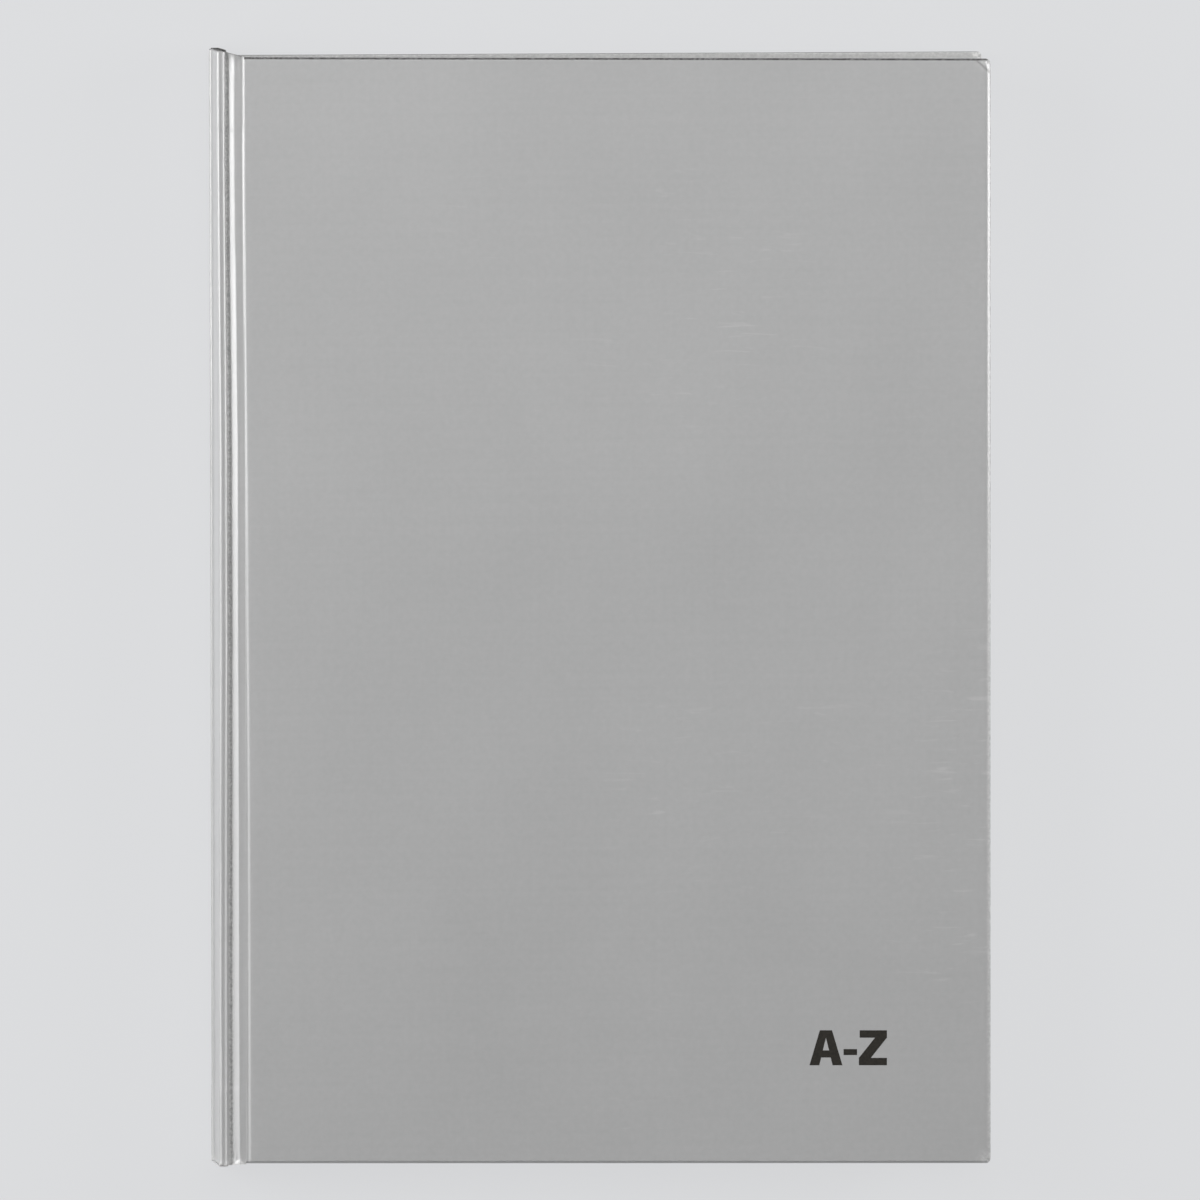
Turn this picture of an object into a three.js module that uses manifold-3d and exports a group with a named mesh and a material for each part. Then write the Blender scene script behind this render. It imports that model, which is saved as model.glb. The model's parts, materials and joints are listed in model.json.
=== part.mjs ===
// A casebound A5 index book: a block of sewn sections with a stepped thumb index,
// two paper-covered boards, a flat spine strip with a hollow back, and pressed joint grooves.
// Millimetres. +X runs from the spine to the fore-edge, +Y to the head, +Z up from the back cover.
import * as THREE from "three";
import { mergeVertices } from "three/addons/utils/BufferGeometryUtils.js";
import Module from "manifold-3d";

const wasm = await Module();
wasm.setup();

// Leaves: one section for each tab, each of two folded sheets
const LEAF_WIDTH = 146;
const LEAF_HEIGHT = 210;
const LEAF_THICKNESS = 0.1;
const LEAVES_PER_SECTION = 4;
const SECTION_AIR = 0.06;
const TAB_DEPTH = 7;
const LABELS = [..."ABCDEFGHIJKLMNOPQRSTUVW", "XYZ"];

// Endpapers: a pastedown and a flyleaf folded from one sheet at each end of the block
const ENDPAPER_THICKNESS = 0.15;
const FLYLEAF_AIR = 0.05;

// Covers: greyboard in laminated printed paper, turned in on three sides
const BOARD_THICKNESS = 2;
const COVER_PAPER = 0.2;
const TURN_IN = 15;
const HEAD_SQUARE = 3;
const FORE_SQUARE = 3.6;
const JOINT_WIDTH = 3.1;
const GLUE = 0.03;

// Spine: a strip of board with rounded long edges, a hollow back and a cloth lining on the block
const SPINE_BOARD = 1.5;
const HOLLOW = 0.55;
const SPINE_DROP = 0.3;
const SPINE_OVERHANG = 0.8;
const SPINE_TO_HEAD = 0.45;
const TURN_IN_EASE = 0.7;
const LINING_THICKNESS = 0.15;
const LINING_GLUE = 0.05;
const LINING_INSET = 5;

// Joint grooves: depth of the crease, and where its foot and its ramp end, from the block's edge
const GROOVE_DEPTH = 1.5;
const GROOVE_FOOT = 0.12;
const RAMP_END = 1.3;
const RAMP_DEPTH = 0.78;
const BOARD_EDGE_EASE = 0.25;

const EDGE_STEPS = 6;
const CUT_MARGIN = 1;

// Heights of the layers, up from the table
const wrapTop = COVER_PAPER;
const boardBase = wrapTop + GLUE;
const boardTop = boardBase + BOARD_THICKNESS;
const turnInBase = boardTop + GLUE;
const turnInTop = turnInBase + COVER_PAPER;
const pastedownBase = turnInTop + GLUE;
const coverThickness = pastedownBase + ENDPAPER_THICKNESS;
const backFlyleafBase = coverThickness + FLYLEAF_AIR;
const sectionPitch = LEAF_THICKNESS * LEAVES_PER_SECTION;
const sectionThickness = sectionPitch - SECTION_AIR;
const blockBase = backFlyleafBase + ENDPAPER_THICKNESS + FLYLEAF_AIR;
const blockTop = blockBase + sectionPitch * LABELS.length;
const frontFlyleafTop = blockTop + ENDPAPER_THICKNESS;
const frontCoverBase = frontFlyleafTop + FLYLEAF_AIR;
const bookThickness = frontCoverBase + coverThickness;

// Places across and along the book, from the block's spine edge and its mid height
const foreEdge = LEAF_WIDTH + FORE_SQUARE;
const coverHalf = LEAF_HEIGHT / 2 + HEAD_SQUARE;
const leafHalf = LEAF_HEIGHT / 2;
const spineHalf = coverHalf + SPINE_OVERHANG;
const spineRadius = SPINE_BOARD / 2 + GLUE + COVER_PAPER;
const spineMid = -(HOLLOW + SPINE_BOARD / 2);
const spineOuter = spineMid - spineRadius;
const spineLowCentre = spineRadius;
const spineHighCentre = bookThickness - SPINE_DROP - spineRadius;
const tabHeight = LEAF_HEIGHT / LABELS.length;

// The spine strip is glued a little nearer the head than the boards, so its head end is the book's.
// The paper in the joints runs from between the head ends to just inside the spine's tail end.
const spineHead = spineHalf + SPINE_TO_HEAD;
const spineTail = SPINE_TO_HEAD - spineHalf;
const headEnd = Math.max(coverHalf, spineHead);
const tailEnd = Math.min(-coverHalf, spineTail);
const jointHead = (coverHalf + spineHead) / 2;
const jointTail = spineTail + COVER_PAPER + GLUE;
const jointHalf = (jointHead - jointTail) / 2;

const book = new THREE.Group();
const binding = new THREE.Group();
binding.position.set(-(foreEdge + spineOuter) / 2, -(headEnd + tailEnd) / 2, 0);
book.add(binding);

function finish(color, roughness) {
  return new THREE.MeshStandardMaterial({ color, roughness, metalness: 0 });
}

function coverPaper() {
  return finish(0xafafb0, 0.5);
}

function greyboard() {
  return finish(0x8a857c, 0.95);
}

function endpaper() {
  return finish(0xe9e7e0, 0.9);
}

function leafPaper() {
  return finish(0xf1efe7, 0.9);
}

function liningCloth() {
  return finish(0xd8d2c2, 0.95);
}

// A closed geometry as a solid that can be joined and cut
function solidOf(geometry) {
  const bare = geometry.clone();
  bare.deleteAttribute("normal");
  bare.deleteAttribute("uv");
  const merged = mergeVertices(bare, 1e-5);
  const mesh = new wasm.Mesh({
    numProp: 3,
    vertProperties: new Float32Array(merged.attributes.position.array),
    triVerts: new Uint32Array(merged.index.array),
  });
  return new wasm.Manifold(mesh);
}

function geometryOf(solid) {
  const mesh = solid.getMesh();
  const geometry = new THREE.BufferGeometry();
  geometry.setAttribute("position", new THREE.BufferAttribute(new Float32Array(mesh.vertProperties), 3));
  geometry.setIndex(new THREE.BufferAttribute(new Uint32Array(mesh.triVerts), 1));
  geometry.computeVertexNormals();
  return geometry;
}

// A box from its lowest and highest corner
function slab([x0, y0, z0], [x1, y1, z1]) {
  const box = new THREE.BoxGeometry(x1 - x0, y1 - y0, z1 - z0);
  return box.translate((x0 + x1) / 2, (y0 + y1) / 2, (z0 + z1) / 2);
}

// A profile drawn with x across the book and z up, run along the book between two places
function alongSpine(shape, yLow, yHigh) {
  const bar = new THREE.ExtrudeGeometry(shape, {
    depth: yHigh - yLow,
    bevelEnabled: false,
    curveSegments: EDGE_STEPS,
  });
  return bar.rotateX(Math.PI / 2).translate(0, yHigh, 0);
}

function addPart(name, geometry, material) {
  const mesh = new THREE.Mesh(geometry, material);
  mesh.name = name;
  binding.add(mesh);
}

// Turns a piece of the back cover over, so that it lies at the same place in the front cover
function asFront(geometry) {
  return geometry.rotateX(Math.PI).translate(0, 0, bookThickness);
}

function boardGeometry() {
  const edge = COVER_PAPER + GLUE;
  return slab(
    [JOINT_WIDTH, -coverHalf + edge, boardBase],
    [foreEdge - edge, coverHalf - edge, boardTop],
  );
}

// The covering paper: one sheet round the outside, the fore-edge, head and tail, and 15 mm in
function coverWrapGeometry() {
  const outside = solidOf(slab([JOINT_WIDTH, -coverHalf, 0], [foreEdge, coverHalf, turnInTop]));
  const boardRoom = solidOf(slab(
    [JOINT_WIDTH - CUT_MARGIN, -coverHalf + COVER_PAPER, wrapTop],
    [foreEdge - COVER_PAPER, coverHalf - COVER_PAPER, turnInBase],
  ));
  const window = solidOf(slab(
    [JOINT_WIDTH - CUT_MARGIN, -coverHalf + TURN_IN, turnInBase - CUT_MARGIN / 2],
    [foreEdge - TURN_IN, coverHalf - TURN_IN, turnInTop + CUT_MARGIN],
  ));
  return geometryOf(outside.subtract(boardRoom).subtract(window));
}

// The pastedown sinks onto the board inside the turned-in edges; it starts at a given place
function pastedownGeometry(start) {
  const sheet = solidOf(slab(
    [start, -leafHalf, pastedownBase],
    [LEAF_WIDTH, leafHalf, coverThickness],
  ));
  const sunk = solidOf(slab(
    [JOINT_WIDTH, -coverHalf + TURN_IN + GLUE, turnInBase],
    [foreEdge - TURN_IN - GLUE, coverHalf - TURN_IN - GLUE, coverThickness],
  ));
  return geometryOf(sheet.add(sunk));
}

function endpaperHingeGeometry() {
  return slab([0, -leafHalf, pastedownBase], [JOINT_WIDTH, leafHalf, coverThickness]);
}

function flyleafGeometry(base) {
  return slab([0, -leafHalf, base], [LEAF_WIDTH, leafHalf, base + ENDPAPER_THICKNESS]);
}

// A section reaches the fore-edge from the head down to the foot of its own tab, and is cut back below
function sectionGeometry(place, index) {
  const base = blockBase + place * sectionPitch;
  const top = base + sectionThickness;
  const tabFoot = leafHalf - (index + 1) * tabHeight;
  const outline = new THREE.Shape();
  outline.moveTo(0, -leafHalf);
  if (index < LABELS.length - 1) {
    outline.lineTo(LEAF_WIDTH - TAB_DEPTH, -leafHalf);
    outline.lineTo(LEAF_WIDTH - TAB_DEPTH, tabFoot);
    outline.lineTo(LEAF_WIDTH, tabFoot);
  } else {
    outline.lineTo(LEAF_WIDTH, -leafHalf);
  }
  outline.lineTo(LEAF_WIDTH, leafHalf);
  outline.lineTo(0, leafHalf);
  const leaves = new THREE.ExtrudeGeometry(outline, { depth: top - base, bevelEnabled: false });
  return leaves.translate(0, 0, base);
}

// The spine's outline with its long edges rounded to a given radius
function spineOutline(radius) {
  const outline = new THREE.Shape();
  outline.absarc(spineMid, spineHighCentre, radius, 0, Math.PI, false);
  outline.absarc(spineMid, spineLowCentre, radius, Math.PI, 2 * Math.PI, false);
  outline.closePath();
  return outline;
}

function spineBoardGeometry() {
  const half = spineHalf - COVER_PAPER - GLUE;
  return alongSpine(spineOutline(SPINE_BOARD / 2), -half, half).translate(0, SPINE_TO_HEAD, 0);
}

// The spine's covering paper: round the outer face, over both ends and 15 mm in on the hollow side
function spineWrapGeometry() {
  const body = solidOf(alongSpine(spineOutline(spineRadius), -spineHalf, spineHalf));
  const endRoom = spineHalf - COVER_PAPER;
  const boardRoom = solidOf(alongSpine(spineOutline(spineRadius - COVER_PAPER), -endRoom, endRoom));
  const innerSide = solidOf(slab(
    [spineMid, -endRoom, -CUT_MARGIN],
    [spineMid + spineRadius + CUT_MARGIN, endRoom, bookThickness + CUT_MARGIN],
  ));
  const innerFace = spineMid + spineRadius;
  let paper = body.subtract(boardRoom).subtract(innerSide);
  for (const end of [-1, 1]) {
    const y = [end * (spineHalf - TURN_IN), end * spineHalf].sort((a, b) => a - b);
    paper = paper.add(solidOf(slab(
      [innerFace - COVER_PAPER, y[0], spineLowCentre + TURN_IN_EASE],
      [innerFace, y[1], spineHighCentre - TURN_IN_EASE],
    )));
  }
  return geometryOf(paper.translate([0, SPINE_TO_HEAD, 0]));
}

// The covering paper across a joint, from the spine's rounded edge down into the groove and up
// onto the board. Heights are below the cover's face; the spine's edge lies edgeDrop below it.
function jointWrapGeometry(edgeDrop) {
  const centre = spineRadius + edgeDrop;
  const path = [];
  for (let step = 0; step <= EDGE_STEPS; step += 1) {
    const angle = Math.PI / 2 - (step / EDGE_STEPS) * Math.PI * 0.42;
    const reach = spineRadius - COVER_PAPER / 2;
    path.push([spineMid + reach * Math.cos(angle), centre - reach * Math.sin(angle)]);
  }
  path.push([GROOVE_FOOT, GROOVE_DEPTH]);
  path.push([RAMP_END, RAMP_DEPTH]);
  path.push([JOINT_WIDTH - BOARD_EDGE_EASE, COVER_PAPER + BOARD_EDGE_EASE]);
  path.push([JOINT_WIDTH, COVER_PAPER / 2]);
  const outer = [];
  const inner = [];
  path.forEach(([x, z], i) => {
    const before = path[Math.max(i - 1, 0)];
    const after = path[Math.min(i + 1, path.length - 1)];
    const atEnd = i === 0 || i === path.length - 1;
    const length = Math.hypot(after[0] - before[0], after[1] - before[1]);
    const normal = atEnd ? [0, 1] : [-(after[1] - before[1]) / length, (after[0] - before[0]) / length];
    outer.push(new THREE.Vector2(x - normal[0] * COVER_PAPER / 2, z - normal[1] * COVER_PAPER / 2));
    inner.push(new THREE.Vector2(x + normal[0] * COVER_PAPER / 2, z + normal[1] * COVER_PAPER / 2));
  });
  const profile = new THREE.Shape([...outer, ...inner.reverse()]);
  return alongSpine(profile, -jointHalf, jointHalf);
}

function atJoint(geometry) {
  return geometry.translate(0, (jointHead + jointTail) / 2, 0);
}

function liningGeometry() {
  const half = leafHalf - LINING_INSET;
  return slab(
    [-LINING_GLUE - LINING_THICKNESS, -half, blockBase],
    [-LINING_GLUE, half, blockTop - SECTION_AIR],
  );
}

addPart("back_cover_wrap", coverWrapGeometry(), coverPaper());
addPart("back_board", boardGeometry(), greyboard());
addPart("back_pastedown", pastedownGeometry(0), endpaper());
addPart("back_flyleaf", flyleafGeometry(backFlyleafBase), endpaper());

// The last tab's section lies lowest, and the first tab's section on top
LABELS.forEach((label, index) => {
  const place = LABELS.length - 1 - index;
  addPart(`section_${label}`, sectionGeometry(place, index), leafPaper());
});

addPart("front_flyleaf", flyleafGeometry(blockTop), endpaper());
addPart("front_pastedown", asFront(pastedownGeometry(JOINT_WIDTH)), endpaper());
addPart("front_endpaper_hinge", asFront(endpaperHingeGeometry()), endpaper());
addPart("front_board", asFront(boardGeometry()), greyboard());
addPart("front_cover_wrap", asFront(coverWrapGeometry()), coverPaper());

addPart("spine_board", spineBoardGeometry(), greyboard());
addPart("spine_wrap", spineWrapGeometry(), coverPaper());
addPart("back_joint_wrap", atJoint(jointWrapGeometry(0)), coverPaper());
addPart("front_joint_wrap", atJoint(asFront(jointWrapGeometry(SPINE_DROP))), coverPaper());
addPart("spine_lining", liningGeometry(), liningCloth());

export default book;
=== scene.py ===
import json
import math

import bpy
import numpy as np
from mathutils import Matrix, Vector, noise


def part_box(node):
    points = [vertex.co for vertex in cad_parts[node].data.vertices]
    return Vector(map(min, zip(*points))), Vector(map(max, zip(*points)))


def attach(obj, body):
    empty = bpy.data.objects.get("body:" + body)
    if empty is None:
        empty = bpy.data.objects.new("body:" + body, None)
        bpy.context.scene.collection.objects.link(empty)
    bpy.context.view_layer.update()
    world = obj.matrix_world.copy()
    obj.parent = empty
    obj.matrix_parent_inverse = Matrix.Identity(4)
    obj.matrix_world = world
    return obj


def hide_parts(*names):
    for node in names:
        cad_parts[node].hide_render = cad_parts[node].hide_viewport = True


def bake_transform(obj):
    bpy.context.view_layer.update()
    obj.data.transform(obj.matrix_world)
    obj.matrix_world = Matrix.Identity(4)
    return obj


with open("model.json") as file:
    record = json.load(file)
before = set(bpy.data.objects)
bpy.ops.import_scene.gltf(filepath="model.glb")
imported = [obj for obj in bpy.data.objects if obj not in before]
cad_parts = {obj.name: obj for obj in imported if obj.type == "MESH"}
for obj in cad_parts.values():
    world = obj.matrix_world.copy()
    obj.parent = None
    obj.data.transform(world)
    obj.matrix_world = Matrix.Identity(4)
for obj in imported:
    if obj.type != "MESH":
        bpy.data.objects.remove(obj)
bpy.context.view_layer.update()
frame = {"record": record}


# The table top: one large pale sheet that the book lies on. It runs on far behind
# the book, so that every side view has the same plain ground. It is not part of the book.

TABLE_REACH = 20.0
TABLE_GREY = (0.716, 0.723, 0.737, 1)
TABLE_SELF_LIT = 0.90
TABLE_DROP = 0.0001


def paint(name):
    """An empty node material and its output node."""
    finish = bpy.data.materials.new(name)
    finish.use_nodes = True
    finish.node_tree.nodes.clear()
    return finish, finish.node_tree.nodes.new("ShaderNodeOutputMaterial")


def add_node(finish, kind, settings=None, **sockets):
    """A node with its settings and its inputs. An input is a plain value or another node's socket."""
    node = finish.node_tree.nodes.new("ShaderNode" + kind)
    for key, value in (settings or {}).items():
        setattr(node, key, value)
    for key, value in sockets.items():
        socket = node.inputs[int(key[1:])] if key[1:].isdigit() else node.inputs[key.replace("_", " ")]
        if isinstance(value, bpy.types.NodeSocket):
            finish.node_tree.links.new(value, socket)
        else:
            socket.default_value = value
    return node


def reckon(finish, operation, *values):
    """The outcome of one sum, as a socket."""
    sockets = {f"_{i}": value for i, value in enumerate(values)}
    return add_node(finish, "Math", {"operation": operation}, **sockets).outputs[0]


def backdrop_rays(finish):
    """1 for rays that see the ground plainly or in gloss, 0 for the light that it throws back."""
    rays = add_node(finish, "LightPath").outputs
    seen = reckon(finish, "MAXIMUM", rays["Is Camera Ray"], rays["Is Glossy Ray"])
    return reckon(finish, "MAXIMUM", seen, rays["Is Transmission Ray"])


table_finish, table_out = paint("table_top")
table_matt = add_node(table_finish, "BsdfDiffuse", Color=TABLE_GREY).outputs[0]
table_even = add_node(table_finish, "Emission", Color=TABLE_GREY, Strength=1.0).outputs[0]
table_share = reckon(table_finish, "MULTIPLY", backdrop_rays(table_finish), TABLE_SELF_LIT)
table_mix = add_node(table_finish, "MixShader", _0=table_share, _1=table_matt, _2=table_even)
table_finish.node_tree.links.new(table_mix.outputs[0], table_out.inputs["Surface"])

table_mesh = bpy.data.meshes.new("table_top")
table_corners = [(x * TABLE_REACH, y * TABLE_REACH, 0) for x, y in ((-1, -1), (1, -1), (1, 1), (-1, 1))]
table_mesh.from_pydata(table_corners, [], [(0, 1, 2, 3)])
table_mesh.materials.append(table_finish)
table_top = bpy.data.objects.new("table_top", table_mesh)
table_top.location.z = -TABLE_DROP
bpy.context.scene.collection.objects.link(table_top)


# The camera stands far above the book, a little towards the spine and the head, so that
# it sees the spine's face on the left and the back cover's edge past the head.

VIEW_FROM = Vector((-0.627473, 0.253505, 5.365140))
VIEW_TO = Vector((-0.000076, 0.000853, 0.007665))
VIEW_ROLL = 0.09625
VIEW_LENS = 828.87
VIEW_FILM = 36
VIEW_REACH = 60

camera_data = bpy.data.cameras.new("photo_view")
camera_data.lens = VIEW_LENS
camera_data.sensor_width = VIEW_FILM
camera_data.clip_end = VIEW_REACH
camera = bpy.data.objects.new("photo_view", camera_data)
sight = (VIEW_TO - VIEW_FROM).normalized()
roll = math.radians(VIEW_ROLL)
sideways = sight.cross(Vector((math.sin(roll), math.cos(roll), 0))).normalized()
upwards = sideways.cross(sight)
camera.matrix_world = Matrix((
    (sideways.x, upwards.x, -sight.x, VIEW_FROM.x),
    (sideways.y, upwards.y, -sight.y, VIEW_FROM.y),
    (sideways.z, upwards.z, -sight.z, VIEW_FROM.z),
    (0, 0, 0, 1),
))
bpy.context.scene.collection.objects.link(camera)
bpy.context.scene.camera = camera
bpy.context.scene.view_settings.view_transform = "Standard"


# Light: a soft box low on the spine's side and one low on the fore-edge's side, both nearer the
# head than the tail, a dimmer one by the spine's tail, and a wide dim one high past the head.

# name, place, aimed at, width, length, radiance
SOFT_BOXES = [
    ("spine_side_box", (-0.62, 0.17, 0.345), (0, 0.05, 0), 0.34, 0.36, 8.8),
    ("spine_tail_box", (-0.62, -0.14, 0.345), (0, -0.08, 0), 0.34, 0.25, 3.3),
    ("fore_edge_side_box", (0.62, 0.17, 0.30), (0, 0.05, 0), 0.32, 0.34, 8.2),
    ("overhead_box", (0.06, 0.50, 1.30), (0, 0, 0), 0.9, 0.76, 2.1),
]
ROOM_LIGHT = 0.16

for name, place, aim, width, length, radiance in SOFT_BOXES:
    box = bpy.data.lights.new(name, "AREA")
    box.shape = "RECTANGLE"
    box.size = width
    box.size_y = length
    box.energy = radiance * math.pi * width * length
    lamp = bpy.data.objects.new(name, box)
    lamp.location = place
    away = (Vector(place) - Vector(aim)).normalized()
    along = Vector((0, 1, 0))
    across = along.cross(away).normalized()
    along = away.cross(across)
    lamp.rotation_euler = Matrix((across, along, away)).transposed().to_euler()
    lamp.visible_camera = False
    bpy.context.scene.collection.objects.link(lamp)

room = bpy.data.worlds.new("room")
room.use_nodes = True
room.node_tree.nodes.clear()
room_out = room.node_tree.nodes.new("ShaderNodeOutputWorld")
room_dim = add_node(room, "Background", Color=(1, 1, 1, 1), Strength=ROOM_LIGHT)
room_pale = add_node(room, "Background", Color=TABLE_GREY, Strength=1.0)
room_rays = add_node(room, "LightPath").outputs["Is Camera Ray"]
room_mix = add_node(room, "MixShader", _0=room_rays, _1=room_dim.outputs[0], _2=room_pale.outputs[0])
room.node_tree.links.new(room_mix.outputs[0], room_out.inputs["Surface"])
bpy.context.scene.world = room


# The covering paper: silver-grey printed paper with a satin film on it. One sheet covers both
# boards and the spine. On each board it is glued over the outside, pressed round the fore-edge,
# head and tail, and turned 15 mm in. The corners are folded and a little crushed.

MM = 0.001
PAPER_THICKNESS = 0.2 * MM
TURN_IN = 15 * MM
SAME_PLACE = 1e-9
BOARD_ROUNDING = 0.2 * MM
CORNER_ROUNDING = 0.9 * MM
# the head and tail edges of the outer face are worn in: how far, and how far down and in that reaches
END_LEAN = 0.34 * MM
END_LEAN_DEPTH = 0.6 * MM
END_LEAN_REACH = 1.6 * MM
# the fore-edge is worn to a slope: distance in from the edge, and drop, in millimetres
FORE_EDGE_SLOPE = [
    (0, 0.46), (0.07, 0.415), (0.15, 0.37), (0.30, 0.29), (0.45, 0.21), (0.60, 0.14), (0.80, 0.075),
    (1.1, 0.025), (1.5, 0),
]
FORE_EDGE_WEAR_DEPTH = 1.1 * MM
PRESSED_DEPTH_REACH = 1.5 * MM
# where the paper is made pale: along the fore-edge and round the corners, rubbed film and a painted
# highlight; at the back cover's head corner, bare paper and a painted glint; inside the back cover's head,
# painted light where the front cover's shade falls. How wide a strip or corner, how far down, and how much
RUBBED_AND_HIGHLIT_EDGE, RUBBED_AND_HIGHLIT_EDGE_DEPTH, RUBBED_AND_HIGHLIT_EDGE_SHARE = 0.9 * MM, 1.2 * MM, 0.7
RUBBED_AND_HIGHLIT_CORNER, RUBBED_AND_HIGHLIT_CORNER_SHARE = 3.4 * MM, 0.75
BARE_AND_GLINTING_CORNER = 1.9 * MM
PAINTED_LIGHT_HEAD, PAINTED_LIGHT_HEAD_SHARE = 2.5 * MM, 0.45
# painted shade on the head edge's wall, which faces away from the lamps: depth below the face in millimetres,
# and share
PAINTED_HEAD_SHADE = [(0.02, 0), (0.08, 1), (0.6, 1), (0.9, 0)]
PAINTED_HEAD_SHADE_REACH = 0.06 * MM
PAINTED_HEAD_SHADE_STOP = 0.5 * MM
NEAR_JOINT = [0, 0.1, 0.2, 0.3, 0.45, 0.6, 0.8, 1.0, 1.25, 1.5, 1.8, 2.2, 3.0, 4.2, 6.0]
NEAR_EDGE = [0, 0.03, 0.07, 0.12, 0.2, 0.28, 0.4, 0.5, 0.6, 0.8, 1.0, 1.2, 1.4, 1.6, 1.8, 2.0, 2.2, 2.4]
NEAR_EDGE += [2.6, 2.8, 3.0, 3.2, 3.4, 3.6, 3.8, 4.4, 5.2, 6.4, 8.0]
WALL_STEPS = [0, 0.03, 0.07, 0.12, 0.2, 0.28, 0.36, 0.45, 0.6, 0.9]

# The joint's side of each board is pressed down in a soft slope: distance from the block's back
# edge, and depth below the cover's face, in millimetres. It lies further in towards the tail.
PRESSED_EDGE = [
    (2.20, 0.40), (2.45, 0.398), (2.62, 0.385), (2.75, 0.35), (2.88, 0.29), (3.02, 0.215), (3.16, 0.14),
    (3.30, 0.08), (3.45, 0.04), (3.65, 0.015), (4.00, 0.004), (4.50, 0.0),
]
PRESSED_EDGE_SHIFT = [(-97, 0.75), (-67, 0.75), (-37, 0.72), (-6, 0.55), (31, 0.38), (60, 0.15), (88, 0.0)]

# The strip's top and the crease wander a little along the book too, in millimetres
STRIP_DRIFT = [(-97, 0.08), (-67, 0.10), (-37, 0.20), (-6, 0.35), (31, 0.33), (60, 0.16), (88, 0.0)]
CREASE_DRIFT = [(-97, 0.55), (-67, 0.52), (-37, 0.50), (-6, 0.48), (31, 0.42), (60, 0.22), (88, 0.0)]

# The front cover of this copy is a little askew on the book: how far each corner has slipped
# across and along the book, in millimetres, at the head and tail of its two long edges
SLIPPED = {
    "joint head": (0.0, -0.08), "joint tail": (0.0, 0.12),
    "fore-edge head": (0.15, -1.05), "fore-edge tail": (-0.07, -1.22),
}

# Its head corner is knocked: a triangle bent down along a bulging crease
KNOCK_ACROSS = 3.5 * MM
KNOCK_ALONG = 3.1 * MM
KNOCK_BULGE = 1.15
KNOCK_SLOPE = 0.16
KNOCK_DEEP = 0.8 * MM
KNOCK_EASE = 1.2 * MM
KNOCK_CREASE = 0.07 * MM
KNOCK_CREASE_WIDTH = 0.26 * MM
# painted shade along the crease, and a painted highlight on the bent facet beyond it
KNOCK_PAINTED_SHADE = 0.6
KNOCK_PAINTED_HIGHLIGHT = 0.35

COVER_LIGHT = (0.448, 0.449, 0.450)
COVER_DARK = (0.400, 0.401, 0.402)
# pale for rubbed film and for painted light and highlight; near-black for painted shade
COVER_WORN_AND_LIT = (0.74, 0.74, 0.73)
COVER_PAINTED_SHADE = (0.085, 0.082, 0.080)
COVER_DUST = (0.85, 0.85, 0.84)

front_low, front_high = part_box("front_cover_wrap")
back_low, back_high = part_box("back_cover_wrap")
block_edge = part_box("section_A")[0].x


def held(share):
    """A share held between 0 and 1."""
    return min(1.0, max(0.0, share))


def fade(distance, reach):
    """1 at no distance, falling evenly to 0 at the reach."""
    return max(0.0, 1 - distance / reach)


def at(line, place):
    """The value of a line of pairs at a place along it."""
    return float(np.interp(place, *zip(*line)))


def pressed_depth(x, y):
    """Depth of the pressed joint side of a board, in metres, at a place from the block's back edge."""
    return at(PRESSED_EDGE, x / MM - at(PRESSED_EDGE_SHIFT, y / MM)) * MM


def worn_drop(from_fore_edge):
    """Drop of the worn fore-edge of a cover, in metres, at a distance in from it."""
    return at(FORE_EDGE_SLOPE, from_fore_edge / MM) * MM


def drift(line, y):
    """How far a pressed line lies off its straight place, in metres."""
    return at(line, y / MM) * MM


def past_knock(from_fore_edge, from_head):
    """How far a place lies outside the knocked corner's crease, and how much the crease shows there."""
    across, along = fade(from_fore_edge, KNOCK_ACROSS), fade(from_head, KNOCK_ALONG)
    past = ((across ** KNOCK_BULGE + along ** KNOCK_BULGE) ** (1 / KNOCK_BULGE) - 1) * KNOCK_ALONG
    return past, min(1.0, 4 * across, 4 * along) * math.exp(-((past / KNOCK_CREASE_WIDTH) ** 2))


def knocked(from_fore_edge, from_head, depth):
    """How far the knocked corner of the front cover is bent down, at a depth below the face, in metres."""
    past, creased = past_knock(from_fore_edge, from_head)
    share = held(1 - (depth - KNOCK_DEEP) / KNOCK_EASE)
    return (KNOCK_SLOPE * max(0.0, past) + KNOCK_CREASE * creased) * share


def askew(x, y):
    """A place on the front cover, moved with the cover's slip."""
    u = max(0.0, (x - front_low.x) / (front_high.x - front_low.x))
    v = (y - front_low.y) / (front_high.y - front_low.y)
    near, far = (
        [a * v + b * (1 - v) for a, b in zip(SLIPPED[edge + " head"], SLIPPED[edge + " tail"])]
        for edge in ("joint", "fore-edge")
    )
    return x + (near[0] * (1 - u) + far[0] * u) * MM, y + (near[1] * (1 - u) + far[1] * u) * MM


def object_place(finish):
    """The place on the piece, in metres, as a socket."""
    return add_node(finish, "TexCoord").outputs["Object"]


def grain(finish, place, scale, detail=3.0, rough=0.55, stretch=(1, 1, 1)):
    """Noise over the piece, stretched along an axis, as a socket from 0 to 1."""
    spread = add_node(finish, "Mapping", Vector=place, Scale=stretch)
    return add_node(
        finish, "TexNoise", {"noise_dimensions": "3D"},
        Vector=spread.outputs[0], Scale=scale, Detail=detail, Roughness=rough,
    ).outputs[0]


def levels(finish, value, low, high, out_low=0, out_high=1):
    """A value carried from one range to another, held at the ends."""
    return add_node(finish, "MapRange", _0=value, _1=low, _2=high, _3=out_low, _4=out_high).outputs[0]


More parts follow.
